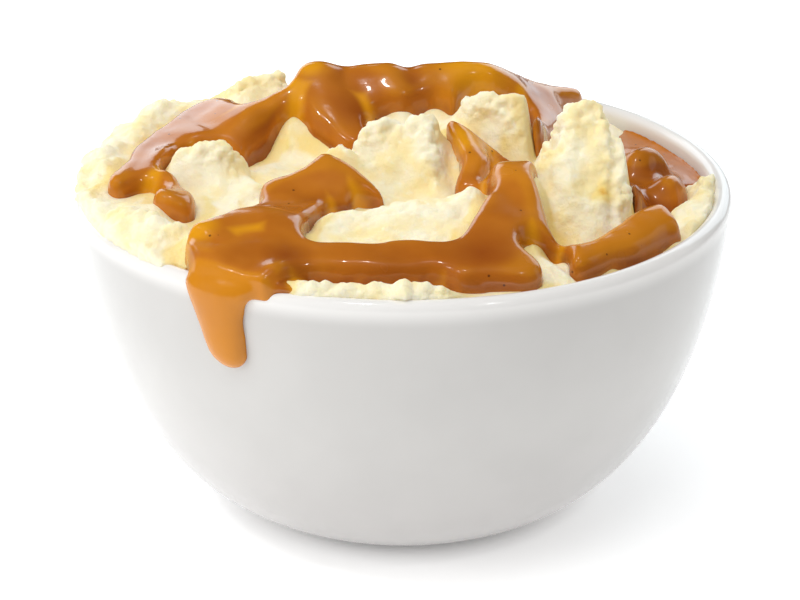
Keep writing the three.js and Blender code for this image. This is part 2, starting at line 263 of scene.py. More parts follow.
# %% Bowl section
BOWL_RADIUS = 65
BOWL_HEIGHT = 66
RIM_ROUND = 1.85
FOOT_RADIUS = 29.4
FOOT_RING = 5
FOOT_RECESS = 1.6
FOOT_CHAMFER = 0.8
WALL_POWER = 1.705
WALL_ROUNDNESS = 3.56
OUTER_DEPTH = 68.65
INNER_DEPTH = 62.5
WALL_POINTS, RIM_POINTS = 34, 15
OUTSIDE_CROWDING, INSIDE_CROWDING = 1.6, 2.2
INNER_RADIUS = BOWL_RADIUS - 2 * RIM_ROUND
RIM_BASE = BOWL_HEIGHT - RIM_ROUND
RIM_CREST = BOWL_RADIUS - RIM_ROUND


def wall_radius(z, radius, depth):
    """Radius in millimetres of the outer or inner wall at a height."""
    share = np.clip((BOWL_HEIGHT - z) / depth, 0, 1)
    return radius * (1 - share**WALL_POWER) ** (1 / WALL_ROUNDNESS)


def bowl_section():
    """Points of radius and height, from the middle of the foot to the middle of the floor."""
    ring = FOOT_RADIUS - FOOT_RING
    foot = [(0, FOOT_RECESS), (ring, FOOT_RECESS), (ring + FOOT_CHAMFER, 0)]
    foot += [(FOOT_RADIUS - FOOT_CHAMFER, 0), (FOOT_RADIUS, FOOT_CHAMFER)]
    climb = np.linspace(0, 1, WALL_POINTS)[1:-1] ** OUTSIDE_CROWDING
    rise = FOOT_CHAMFER + (RIM_BASE - FOOT_CHAMFER) * climb
    outside = [(wall_radius(z, BOWL_RADIUS, OUTER_DEPTH), z) for z in rise]
    turn = np.linspace(0, np.pi, RIM_POINTS)
    rim = [(RIM_CREST + RIM_ROUND * np.cos(a), RIM_BASE + RIM_ROUND * np.sin(a)) for a in turn]
    floor_z = BOWL_HEIGHT - INNER_DEPTH
    sink = np.linspace(1, 0, WALL_POINTS)[1:-1] ** INSIDE_CROWDING
    fall = floor_z + (RIM_BASE - floor_z) * sink
    inside = [(wall_radius(z, INNER_RADIUS, INNER_DEPTH), z) for z in fall]
    return foot + outside + rim + inside + [(0, floor_z)]


print("bowl section points:", len(bowl_section()))

# %% Spin the bowl
SPIN_STEPS = 168
shape = bmesh.new()
corners = [shape.verts.new((radius * MM, 0, z * MM)) for radius, z in bowl_section()]
lines = [shape.edges.new(pair) for pair in zip(corners, corners[1:])]
bmesh.ops.spin(
    shape, geom=corners + lines, cent=(0, 0, 0), axis=(0, 0, 1), angle=2 * math.pi,
    steps=SPIN_STEPS, use_merge=True,
)
bmesh.ops.remove_doubles(shape, verts=shape.verts[:], dist=0.01 * MM)
bmesh.ops.recalc_face_normals(shape, faces=shape.faces[:])
for face in shape.faces:
    face.smooth = True
bowl_mesh = bpy.data.meshes.new("glazed_bowl")
shape.to_mesh(bowl_mesh)
shape.free()
bowl = bpy.data.objects.new("glazed_bowl", bowl_mesh)
bpy.context.scene.collection.objects.link(bowl)
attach(bowl, "root")
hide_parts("bowl")
print("bowl faces:", len(bowl_mesh.polygons))

# %% [markdown]
# The glaze is a thick clear gloss over a white body. It has a faint cloudiness, pools a little
# unevenly, so reflections waver, and is wiped off the ring that the bowl stands on. Its colour is
# painted a light grey, darker towards the foot as painted shade, and paler at the rim as painted
# light.

# %% White glaze
glaze, glaze_shader, start = new_finish("white_glaze")
place = start.node("ShaderNodeTexCoord", output="Object")
height = start.node("ShaderNodeSeparateXYZ", inputs={0: place}, output=2)
clouds = lumps(start, 22 * MM)
# Painted shade: the colour low on the bowl is darker than the wall's, and the body blends from it up
# to the wall.
low = clouds.between(0.3, 0.7).blend(srgb(184, 181, 179), srgb(190, 187, 185))
wall = clouds.between(0.3, 0.7).blend(srgb(200, 198, 195), srgb(204, 202, 199))
body = height.between(0, 45 * MM).blend(low, wall)
# Painted light: the rim is painted paler than the wall.
body = height.between(61 * MM, 65 * MM).blend(body, srgb(236, 234, 231))
bare_ring = 1 - height.between(0.15 * MM, 0.7 * MM)
colour = bare_ring.blend(body, srgb(226, 218, 206))
ripple = lumps(start, 9 * MM, detail=1.0)
connect(glaze, glaze_shader, {
    "Base Color": colour,
    "Roughness": 0.09 + 0.05 * clouds + 0.6 * bare_ring,
    "Normal": bump(start, ripple, 0.05 * MM),
})
glaze_shader.inputs["IOR"].default_value = 1.5
bowl_mesh.materials.append(glaze)
print("glaze nodes:", len(glaze.node_tree.nodes))

# %% [markdown]
# ## The heap as a height map
#
# Mash keeps the shapes that the spoon left: crests with steep broken faces. Each crag is a crest
# between two points, with how fast the mash falls away in front, behind and past both ends. The
# heap's height is the highest of all the crags, with the creases between them filled a little.
# Numbers here are millimetres, as on the solids.

# %% Crags
CRAGS = {
    "left_bank_front": ((-60, -20, 68.3), (-60, 6, 70), 0.4, 1.2, 0.5, 0.5),
    "left_bank_back": ((-60, 6, 69.5), (-52, 29, 71.5), 0.5, 1, 0.6, 0.8),
    "back_left_bank": ((-52, 29, 71), (-37, 41, 71), 0.8, 1, 0.6, 0.6),
    "back_left_peak": ((-34, 37, 74), (-28, 40, 74.5), 1, 1, 1.3, 1.3),
    "dome_left": ((-20, 22, 80), (-16.5, 22, 80.5), 0.75, 1, 1.8, 1.2),
    "dome_middle": ((-9, 23, 79), (-3, 23.5, 80), 0.8, 1, 1, 1.2),
    "dome_right": ((5, 24, 79.5), (17, 25, 79.5), 0.8, 0.9, 1.2, 1),
    "dome_run": ((20, 28, 76), (39, 45, 66), 1, 0.8, 1, 1),
    "back_crag": ((15, 11.5, 79.5), (24.3, 10, 80.5), 2, 2, 1.1, 5),
    "tongue_bank": ((9, 5, 75), (14, -9, 71), 0.9, 0.9, 1, 1),
    "middle_crag": ((-6.3, -2, 78), (4, -2.5, 79.3), 1, 1.5, 2.6, 1.6),
    "tall_crag": ((32.5, -9, 85), (38, -9.2, 85), 0.85, 2.2, 2.2, 6),
    "tall_crag_shoulder": ((27.5, -15, 77), (41.3, -15, 79), 0.85, 1.5, 1.5, 8),
    "front_ridge": ((-13, -32, 70.5), (13, -28.5, 73), 0.35, 0.6, 1, 1),
    "front_slope": ((-24, -38, 69), (20, -37, 69.3), 0.25, 0.5, 0.6, 0.8),
    "right_lobe": ((17.5, -22, 74.3), (23.5, -22.5, 74.7), 0.35, 1, 2, 1.6),
    "left_ridge": ((-27, -20, 69), (-16.5, -14.5, 72), 0.7, 1.2, 0.8, 0.6),
    "left_ridge_peak": ((-15.5, -9.5, 74), (-12.5, -9, 74.5), 0.9, 1.3, 1.2, 0.7),
    "front_left_lobe": ((-38, -43, 71), (-25, -37, 71), 0.42, 0.8, 2.5, 0.8),
    "spill_bank": ((-34, -47.5, 67), (-23, -52, 67), 0.5, 0.6, 1, 1),
    "front_left_bank": ((-53, -27, 69.8), (-42, -38, 70.8), 0.5, 0.8, 0.6, 0.8),
    "shelf_lip": ((-59, -21, 69), (-46, -24, 69.6), 0.35, 1, 0.5, 0.8),
    "left_crag": ((-44, -5, 73.5), (-37, -5.5, 75), 1, 1.2, 1.4, 1.4),
    "left_shelf_low": ((-52, -2, 68), (-40, 4.5, 69.5), 0.08, 0.05, 0.1, 0.8),
    "left_shelf": ((-40, 4.5, 69.5), (-30, 13, 73), 1.2, 0.15, 0.8, 0.8),
    "left_shelf_high": ((-30, 13, 73), (-23, 18, 77), 1.4, 0.6, 0.8, 0.8),
    "right_bead": ((30, -46, 66), (48, -28, 68.3), 0.9, 1.2, 0.8, 0.8),
    "right_rim_strip": ((56, -26, 66.4), (60.5, -2, 66.8), 1, 1, 0.8, 0.8),
    "pool_crag_far": ((47, 3, 68), (50, 6, 67.5), 1.6, 1.6, 1.6, 1.6),
    "pool_crag_near": ((51.5, -7, 65.5), (53.5, -4, 65.5), 1.6, 1.6, 1.6, 1.6),
    "front_lip": ((-21, -57.8, 68), (8, -60.5, 67.7), 1.2, 1, 1, 1),
    "front_sliver": ((26, -46, 67), (28, -51, 66.5), 1, 1, 1, 1),
    "behind_left": ((-14, 44, 73), (-4, 46, 73), 1, 1.2, 1.2, 1.2),
    "behind_right": ((10, 42, 73), (18, 44, 72.5), 1, 1.3, 1.2, 1.2),
    "behind_rim": ((0, 55, 68.5), (6, 56, 68.5), 1, 1, 1, 1),
}
print("crags:", len(CRAGS))


# %% Noise for the heap
def corner_value(i, j):
    """A fixed value from 0 to 1 at every whole-numbered point."""
    value = np.sin(i * 127.1 + j * 311.7) * 43758.5453
    return value - np.floor(value)


def noise(x, y):
    """Smooth noise between -1 and 1."""
    i, j = np.floor(x), np.floor(y)
    u, v = x - i, y - j
    u, v = u * u * (3 - 2 * u), v * v * (3 - 2 * v)
    near = corner_value(i, j) * (1 - u) + corner_value(i + 1, j) * u
    far = corner_value(i, j + 1) * (1 - u) + corner_value(i + 1, j + 1) * u
    return 2 * (near * (1 - v) + far * v) - 1


print("noise at the middle:", round(float(noise(np.float64(0.4), np.float64(0.7))), 3))

# %% Heights of one crag and of the bare dome
CREST_ROUND = 1.0
DOME_EDGE, DOME_RISE, DOME_REACH, DOME_TILT = 62.5, 5.5, 66, 2
HOLLOW_X, HOLLOW_Y, HOLLOW_WIDE, HOLLOW_LONG, HOLLOW_DEPTH = 53, 15, 13, 26, 7


def crag_height(crag, x, y):
    start_point, end_point, front, back, start_fall, end_fall = crag
    run = np.subtract(end_point[:2], start_point[:2])
    length = np.hypot(*run)
    ux, uy = run / length
    along = (x - start_point[0]) * ux + (y - start_point[1]) * uy
    across = (y - start_point[1]) * ux - (x - start_point[0]) * uy
    crest = start_point[2] + (end_point[2] - start_point[2]) * np.clip(along / length, 0, 1)
    past_end = np.maximum(np.maximum(-along * start_fall, (along - length) * end_fall), 0)
    aside = np.where(across < 0, -across * front, across * back)
    return crest - np.cbrt(past_end**3 + aside**3 + CREST_ROUND**3) + CREST_ROUND


def dome_height(x, y):
    """The mash without its crags: a low dome, higher behind, with a hollow at the right."""
    dome = DOME_EDGE + DOME_RISE * (1 - (x * x + y * y) / DOME_REACH**2)
    dome = dome + DOME_TILT * np.clip(y / 60, -1, 1)
    from_hollow = ((x - HOLLOW_X) / HOLLOW_WIDE) ** 2 + ((y - HOLLOW_Y) / HOLLOW_LONG) ** 2
    hollow = HOLLOW_DEPTH * np.exp(-from_hollow)
    front_rise = 2 * np.exp(-(((y + 58) / 14) ** 2))
    return dome - hollow + front_rise


def blended_max(a, b, width):
    share = np.clip(0.5 + (a - b) / (2 * width), 0, 1)
    return a * share + b * (1 - share) + width * share * (1 - share)


print("bare dome at the middle:", float(dome_height(0.0, 0.0)), "mm")


# %% Height of the whole heap
def mash_height(x, y, blend, bend):
    bent_x = x + bend * (1.6 * noise(x / 9, y / 9) + 0.7 * noise(x / 3.5 + 7, y / 3.5))
    bent_y = y + bend * (1.6 * noise(x / 9 + 31, y / 9 + 17) + 0.7 * noise(x / 3.5, y / 3.5 + 53))
    height_now = dome_height(x, y)
    for crag in CRAGS.values():
        height_now = blended_max(height_now, crag_height(crag, bent_x, bent_y), blend)
    return height_now


CELL = 0.5
HALF = 66.0
ticks = np.arange(-HALF, HALF + CELL / 2, CELL)
GRID_X, GRID_Y = np.meshgrid(ticks, ticks)
GRID_R = np.hypot(GRID_X, GRID_Y)
mash_top = mash_height(GRID_X, GRID_Y, 1.0, 1.0)
print("heap's highest point:", round(float(mash_top[GRID_R < 60].max()), 1), "mm")

# %% [markdown]
# Where the mash lies on the rim, its edge rounds off towards the outside of the bowl.

# %% Rounded edge on the rim
MASH_REACH = 64.6
EDGE_START = 59.0
EDGE_BASE = 65.6
EDGE_RISE = 6.0


def edge_cap(radius, reach):
    """The greatest height near the rim: a quarter of an ellipse that ends at the reach."""
    share = np.clip((radius - EDGE_START) / (reach - EDGE_START), 0, 1)
    cap = EDGE_BASE + EDGE_RISE * np.sqrt(1 - share * share)
    return np.where(radius < EDGE_START, 200, cap)


mash_top = np.minimum(mash_top, edge_cap(GRID_R, MASH_REACH))


def sample(field, x, y):
    """Value of a height map between its grid points."""
    column = np.clip((x + HALF) / CELL, 0, len(ticks) - 1.001)
    row = np.clip((y + HALF) / CELL, 0, len(ticks) - 1.001)
    i, j = column.astype(int), row.astype(int)
    u, v = column - i, row - j
    low = field[j, i] * (1 - u) + field[j, i + 1] * u
    high = field[j + 1, i] * (1 - u) + field[j + 1, i + 1] * u
    return low * (1 - v) + high * v


left_rim = sample(mash_top, np.array([-62.0]), np.array([0.0]))
print("mash over the left rim:", left_rim.round(1))

# %% [markdown]
# ## Gravy runs
#
# Seen from above, the gravy is a set of runs with round ends. A ball rolled along the mash inside
# the runs leaves an even thick coat with a rounded bead at its edges, as a thick sauce does, and
# the pool at the right is level.

# %% Runs of gravy
FLOWS = {
    "dome_left": ((-18.5, 21.5, 4), (-7, 22, 5)),
    "dome_left_front": ((-14.5, 13, 5), (-10, 7.5, 4.6)),
    "dome_middle": ((-4, 22, 4), (17, 24, 4)),
    "dome_middle_front": ((-4, 17, 3), (9, 18, 2.5)),
    "dome_run": ((20, 26, 4), (37, 44, 3)),
    "dome_run_low": ((27.5, 8, 1.8), (31, 30, 4)),
    "tongue_high": ((9, 5, 1.2), (14, -6, 4)),
    "tongue_low": ((14, -6, 4), (13, -15, 3)),
    "back_crag_puddle": ((16, 2.5, 1.2), (23, 0.5, 1.2)),
    "right_lobe": ((20.5, -22.5, 5.2), (21, -29, 4.4)),
    "right_lobe_low": ((21, -29, 4.4), (16, -44, 5)),
    "right_lobe_foot": ((23, -30, 3), (26.5, -41, 1.6)),
    "front_band": ((-26, -51, 4.8), (18, -51, 5)),
    "front_left": ((-37.5, -45, 2.6), (-27, -39, 4)),
    "spill": ((-34.5, -49.5, 4.5), (-30, -58, 6.5)),
    "spill_right": ((-25, -50, 4), (-23, -56, 3)),
    "front_right": ((11, -55, 4), (22, -54, 3.6)),
    "left_ridge": ((-25, -21, 3), (-16, -16, 3.5)),
    "left_ridge_peak": ((-15, -12, 2), (-4, -19, 1.4)),
    "left_ridge_face": ((-15, -15, 3.5), (-12, -22, 2.4)),
    "left_ridge_run": ((-20, -23, 4.5), (-28, -35, 5.5)),
    "left_ridge_foot": ((-20, -28, 3.8), (-21.5, -46, 3.4)),
    "left_ridge_join": ((-17, -22, 2.6), (-19, -33, 2.6)),
    "left_crag_patch": ((-45, -11.5, 1.2), (-43, -23, 4.8)),
    "left_shelf_near": ((-55, -14.5, 3), (-48, 4, 5)),
    "left_shelf_far": ((-47, 6, 5), (-39, 21, 6)),
    "left_shelf_crest": ((-40, 6, 2.5), (-27, 15, 3.4)),
    "left_shelf_face": ((-33, 5, 3), (-27, 11, 2.2)),
    "right_bead": ((31, -45, 1.8), (47.5, -27.5, 2.6)),
    "right_bead_rim": ((31.5, -48.5, 2.2), (50, -31, 2.6)),
    "pool_crag_far": ((47, 3, 1.6), (50.5, 7, 1.6)),
    "pool_crag_near": ((51, -7.5, 1), (52.5, -3, 1.4)),
    "crevice": ((44, -18, 0.8), (45.5, 2, 1.6)),
    "behind_middle": ((-2, 30, 5), (0, 50, 2.5)),
    "behind_left": ((-16, 30, 4), (-22, 46, 2)),
    "behind_right": ((12, 32, 5), (18, 52, 2)),
}
BARE_EDGE = 2.5
BARE_SPOTS = {
    "middle": ((4.5, 13, 1), (6.5, 14.5, 0.8)),
    "sliver": ((26.5, -45, 0.3), (28, -52, 0.8)),
}
print("runs of gravy:", len(FLOWS))


# %% How far a point is outside the gravy
def outside_flow(run, x, y):
    (x0, y0, r0), (x1, y1, r1) = run
    dx, dy = x1 - x0, y1 - y0
    along = np.clip(((x - x0) * dx + (y - y0) * dy) / (dx * dx + dy * dy), 0, 1)
    return np.hypot(x - x0 - along * dx, y - y0 - along * dy) - (r0 + (r1 - r0) * along)


def outside_gravy(x, y):
    """Millimetres outside all the runs, whose edges wave a little, or inside a bare spot."""
    wavy_x = x + 0.9 * noise(x / 5 + 3, y / 5)
    wavy_y = y + 0.9 * noise(x / 5, y / 5 + 9)
    away = np.min([outside_flow(run, wavy_x, wavy_y) for run in FLOWS.values()], axis=0)
    bare = [BARE_EDGE - outside_flow(spot, wavy_x, wavy_y) for spot in BARE_SPOTS.values()]
    return np.maximum(away, np.max(bare, axis=0))


gravy_away = outside_gravy(GRID_X, GRID_Y)
print("share of the bowl under gravy:", round(float((gravy_away[GRID_R < 61] < 2.8).mean()), 2))

# %% Roll the ball
GRAVY_THICKNESS = 2.8
GRAVY_BLEND = 4.0
POOL_X, POOL_Y, POOL_REACH_X, POOL_REACH_Y, POOL_LEVEL = 52, 15, 14, 33, 62.3
NO_GRAVY = -100.0


def soften(field, passes):
    """Evens out a height map by averaging each point with its neighbours."""
    for _ in range(passes):
        for axis in (0, 1):
            field = (np.roll(field, 1, axis) + 2 * field + np.roll(field, -1, axis)) / 4
    return field


centre = np.maximum(mash_height(GRID_X, GRID_Y, GRAVY_BLEND, 0.5), mash_top - 1)
centre = np.where(gravy_away < 0, centre, NO_GRAVY)
gravy_top = np.full_like(centre, NO_GRAVY)
steps = int(GRAVY_THICKNESS / CELL)
for row, column in itertools.product(range(-steps, steps + 1), repeat=2):
    rise = GRAVY_THICKNESS**2 - (row * row + column * column) * CELL**2
    if rise > 0:
        gravy_top = np.maximum(gravy_top, np.roll(centre, (row, column), (0, 1)) + math.sqrt(rise))
in_pool = ((GRID_X - POOL_X) / POOL_REACH_X) ** 2 + ((GRID_Y - POOL_Y) / POOL_REACH_Y) ** 2 < 1
gravy_top = np.where(in_pool, np.maximum(gravy_top, POOL_LEVEL), gravy_top)
print("gravy's highest point:", round(float(gravy_top.max()), 1), "mm")

# %% Even out the coat and round it off at the rim
GRAVY_REACH = 62.3
SPILL_REACH = 66.5
EVEN_PASSES, AROUND_PASSES = 16, 120
SPILL_ANGLE = math.radians(-118)
SPILL_HALF = math.radians(11)
coated = gravy_top > NO_GRAVY + 1
weight = soften(coated.astype(float), EVEN_PASSES)
evened = soften(np.where(coated, gravy_top, 0), EVEN_PASSES) / np.maximum(weight, 0.001)
gravy_top = np.where(coated, evened, NO_GRAVY)
in_spill = np.abs(np.arctan2(GRID_Y, GRID_X) - SPILL_ANGLE) < SPILL_HALF
rim_cap = np.where(in_spill, edge_cap(GRID_R, SPILL_REACH), edge_cap(GRID_R, GRAVY_REACH))
gravy_top = np.minimum(gravy_top, rim_cap)
gravy_deep = gravy_top - mash_top
gravy_bulge = np.where(coated, evened - soften(np.maximum(evened, mash_top), AROUND_PASSES), 0)
print("thickest gravy:", round(float(gravy_deep[coated].max()), 1), "mm")

# %% [markdown]
# ## From height map to mesh
#
# A height map stretches its faces on steep crags. So the block under it is meshed again with
# even small voxels, which gives every face of a crag the same fine grain to work on.


# %% A block between two height maps
def block_mesh(name, keep, top, bottom):
    """A closed mesh over the grid points that are kept, from a bottom to a top height."""
    block = bmesh.new()
    bmesh.ops.create_grid(block, x_segments=len(ticks) - 1, y_segments=len(ticks) - 1, size=HALF)
    cells = [(v, round((v.co.y + HALF) / CELL), round((v.co.x + HALF) / CELL)) for v in block.verts]
    away = [vert for vert, row, column in cells if not keep[row, column]]
    bmesh.ops.delete(block, geom=away, context="VERTS")
    loose = [v for v in block.verts if not v.link_faces]
    bmesh.ops.delete(block, geom=loose, context="VERTS")
    raised = bmesh.ops.extrude_face_region(block, geom=block.faces[:])["geom"]
    upper = [g for g in raised if isinstance(g, bmesh.types.BMVert)]
    bmesh.ops.translate(block, verts=upper, vec=(0, 0, 1))
    bmesh.ops.recalc_face_normals(block, faces=block.faces[:])
    mesh = bpy.data.meshes.new(name)
    block.to_mesh(mesh)
    block.free()
    points = mesh_points(mesh)
    height_now = np.where(points[:, 2] > 0.5, sample(top, points[:, 0], points[:, 1]),
                          sample(bottom, points[:, 0], points[:, 1]))
    set_points(mesh, np.column_stack((points[:, :2], height_now)) * MM)
    return mesh


def mesh_points(mesh):
    points = np.empty(len(mesh.vertices) * 3, np.float32)
    mesh.vertices.foreach_get("co", points)
    return points.reshape(-1, 3).astype(float)


def set_points(mesh, points):
    mesh.vertices.foreach_set("co", points.astype(np.float32).ravel())
    mesh.update()


def mesh_normals(mesh):
    normals = np.empty(len(mesh.vertices) * 3, np.float32)
    mesh.vertex_normals.foreach_get("vector", normals)
    return normals.reshape(-1, 3).astype(float)


print("grid of", len(ticks), "points a side")


# %% Mesh again with even voxels
def remeshed(mesh, voxel):
    """The same form with even faces of a voxel's size in metres."""
    carrier = bpy.data.objects.new("carrier", mesh)
    bpy.context.scene.collection.objects.link(carrier)
    modifier = carrier.modifiers.new("voxels", "REMESH")
    modifier.mode = "VOXEL"
    modifier.voxel_size = voxel
    modifier.use_smooth_shade = True
    shown = carrier.evaluated_get(bpy.context.evaluated_depsgraph_get())
    fine = bpy.data.meshes.new_from_object(shown)
    bpy.data.objects.remove(carrier)
    return fine


print("voxel remesh ready")

# %% Mash block
MASH_VOXEL = 0.54
BLOCK_BASE = 55.0
WALL_INSIDE = 61.8
RIM_INSIDE = 64.4
on_rim = (GRID_R < MASH_REACH - 0.1) & (mash_top > BOWL_HEIGHT + 0.2)
mash_keep = (GRID_R < WALL_INSIDE) | on_rim
mash_bottom = np.where(GRID_R < WALL_INSIDE, BLOCK_BASE, RIM_INSIDE)
mash_top = np.maximum(mash_top, mash_bottom + 0.5)
mash_mesh = remeshed(block_mesh("mash_block", mash_keep, mash_top, mash_bottom), MASH_VOXEL * MM)
print("mash block faces:", len(mash_mesh.polygons))

# %% [markdown]
# The lower half of the heap is never seen, but it is closed all the same: the block is cut level
# under the surface, and its edge is drawn down the inside of the bowl ring by ring.

# %% Close the mash down the inside of the bowl
CUT_LEVEL = 57.0
WALL_GAP = 0.4
RING_LEVELS = (48, 36, 24, 14, 7, 4.2)
SMALLEST_HEAP = 5000


def draw_down(block, edges, level):
    """Extrudes an open edge to a new level and fits it to the bowl's inside there."""
    ring = bmesh.ops.extrude_edge_only(block, edges=edges)["geom"]
    target = float(wall_radius(level, INNER_RADIUS, INNER_DEPTH)) - WALL_GAP
    for vert in (g for g in ring if isinstance(g, bmesh.types.BMVert)):
        flat = vert.co.xy.normalized() * max(target, 1) * MM
        vert.co = (flat.x, flat.y, level * MM)
    return [g for g in ring if isinstance(g, bmesh.types.BMEdge)]


def drop_crumbs(block, smallest):
    """Removes every loose shape with fewer points than the smallest, and counts what is left."""
    left = set(block.verts)
    crumbs, kept = [], 0
    while left:
        queue = [left.pop()]
        island = list(queue)
        while queue:
            vert = queue.pop()
            fresh = {edge.other_vert(vert) for edge in vert.link_edges} & left
            left.difference_update(fresh)
            queue += fresh
            island += fresh
        if len(island) < smallest:
            crumbs += island
        else:
            kept += 1
    bmesh.ops.delete(block, geom=crumbs, context="VERTS")
    return kept


shape = bmesh.new()
shape.from_mesh(mash_mesh)
everything = shape.verts[:] + shape.edges[:] + shape.faces[:]
bmesh.ops.bisect_plane(
    shape, geom=everything, plane_co=(0, 0, CUT_LEVEL * MM), plane_no=(0, 0, 1), clear_inner=True
)
print("separate shapes of mash:", drop_crumbs(shape, SMALLEST_HEAP))
edge = [e for e in shape.edges if e.is_boundary]
for level in RING_LEVELS:
    edge = draw_down(shape, edge, level)
bmesh.ops.contextual_create(shape, geom=edge)
bmesh.ops.recalc_face_normals(shape, faces=shape.faces[:])
shape.to_mesh(mash_mesh)
shape.free()
print("mash faces:", len(mash_mesh.polygons))

# %% [markdown]
# Mash breaks like wet plaster: the crests are knobbly and the faces are softly pitted. The
# knobs are rounded lumps about two millimetres across, strongest on the crests and weak on the
# faces, and they are real geometry, so they show on the outline of the crags too.


# %% Lumps in space
def scatter(i, j, k, salt):
    """A fixed value from 0 to 1 at every whole-numbered point in space."""
    value = np.sin(i * 127.1 + j * 311.7 + k * 74.7 + salt * 19.19) * 43758.5453
    return value - np.floor(value)


def solid_noise(points, salt=0):
    """Smooth noise between -1 and 1 at points in space."""
    base = np.floor(points)
    share = points - base
    share = share * share * (3 - 2 * share)
    total = 0
    for step in itertools.product((0, 1), repeat=3):
        weight = np.prod(np.where(step, share, 1 - share), axis=1)
        total = total + weight * scatter(*(base + step).T, salt)
    return 2 * total - 1


def knobs(points, salt=0):
    """Rounded lumps: 1 at the middle of a lump, falling to 0 in the creases between lumps."""
    base = np.floor(points)
    nearest = np.full(len(points), 9.0)
    for step in itertools.product((-1, 0, 1), repeat=3):
        corner = base + step
        middle = corner + np.column_stack([scatter(*corner.T, salt + axis) for axis in (1, 2, 3)])
        nearest = np.minimum(nearest, np.linalg.norm(points - middle, axis=1))
    return 1 - np.clip(nearest, 0, 1) ** 2


print("lump at the middle:", knobs(np.zeros((1, 3))))

# %% Knobbly crests and pitted faces
SURFACE_START = 58.0
crest_share = np.clip((mash_top - soften(mash_top, 60)) / 1.6, 0, 1)
points = mesh_points(mash_mesh) / MM
normals = mesh_normals(mash_mesh)
crest = sample(crest_share, points[:, 0], points[:, 1])
swell = 1.0 * solid_noise(points / 7) + 0.45 * solid_noise(points / 3, 5)
lump = (0.4 + 1.3 * crest) * (knobs(points / 3) - 0.62)
grain = (0.4 + 1.1 * crest) * (knobs(points / 1.6, 7) - 0.6)
upper = np.clip((points[:, 2] - SURFACE_START) / 3, 0, 1)
bare = np.clip((sample(gravy_away, points[:, 0], points[:, 1]) - 1.2) / 2.6, 0, 1)
radius = np.hypot(points[:, 0], points[:, 1])
at_wall = np.clip((radius - 60) / 1.5, 0, 1) * (points[:, 2] < BOWL_HEIGHT + 0.3)
relief = (swell + lump + grain) * bare - 0.25 * (1 - bare)
points += normals * (relief * upper * (1 - at_wall))[:, None]
set_points(mash_mesh, points * MM)
print("crest share:", round(float(crest.mean()), 2))

# %% [markdown]
# Gravy soaks into the mash beside it, so the mash is amber along every run, and in two hollows where
# a thin film ran off. Nooks that lie below what is round them get painted shade, a darker and warmer
# cream. Both are stored on the mesh as values from 0 to 1 at every point.

# %% Gravy soaked into the mash, and painted shade in nooks
STAINS = [(-38.7, -17.5, 70.5, 4.5), (37.5, -25, 71.5, 4.0), (20, 3, 71, 3.0)]
SOAK_SHARE, SOAK_FROM, SOAK_WIDTH = 0.6, 2.6, 1.2
NOOK_SHADE_PASSES, NOOK_SHADE_START, NOOK_SHADE_DEPTH = 90, 1.0, 3.0


def store(mesh, name, values):
    layer = mesh.attributes.new(name, "FLOAT", "POINT")
    layer.data.foreach_set("value", values.astype(np.float32))


points = mesh_points(mash_mesh) / MM
ragged = 0.9 * solid_noise(points / 2.2, 3)
broken = np.clip(0.5 + 1.5 * solid_noise(points / 7, 4), 0.1, 1)
from_run = sample(gravy_away, points[:, 0], points[:, 1]) + ragged
beside = SOAK_SHARE * broken * (1 - np.clip((from_run - SOAK_FROM) / SOAK_WIDTH, 0, 1))
stain = np.zeros(len(points))
for x, y, z, reach in STAINS:
    far = np.linalg.norm(points - (x, y, z), axis=1) + 1.5 * ragged
    stain = np.maximum(stain, 1 - np.clip(far / reach, 0, 1))
store(mash_mesh, "soak", np.maximum(beside, stain))
# Painted shade: mash that lies below its softened surroundings gets a value that turns it a darker,
# warmer cream.
around = soften(np.maximum(mash_top, gravy_top), NOOK_SHADE_PASSES)
nook_shade = (sample(around, points[:, 0], points[:, 1]) - points[:, 2] - NOOK_SHADE_START) / NOOK_SHADE_DEPTH
store(mash_mesh, "nook_shade", np.clip(nook_shade, 0, 1))
print("stained share:", round(float((stain > 0.3).mean()), 3))

# %% Mash piece
mash = bpy.data.objects.new("craggy_mash", mash_mesh)
bpy.context.scene.collection.objects.link(mash)
mash_mesh.polygons.foreach_set("use_smooth", np.ones(len(mash_mesh.polygons), bool))
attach(mash, "root")
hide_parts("mash")
print("mash triangles:", sum(len(p.vertices) - 2 for p in mash_mesh.polygons))

# %% [markdown]
# Potato is pale cream and lets light in a little, so its shadows stay warm; the nooks also carry
# painted shade in a darker, warmer cream. The cream changes in soft patches, more yellow where the
# butter is, and the fine wet grain only shows as relief.

# %% Mash finish
potato, potato_shader, start = new_finish("creamy_mash")
soak = start.node("ShaderNodeAttribute", {"attribute_name": "soak"}, output="Fac")
patches = lumps(start, 7 * MM, detail=2.0).between(0.35, 0.7)
flecks = lumps(start, 1.6 * MM, detail=2.0).between(0.55, 0.75)
nook_shade = start.node("ShaderNodeAttribute", {"attribute_name": "nook_shade"}, output="Fac")
cream = patches.blend(srgb(253, 243, 212), srgb(251, 231, 174))
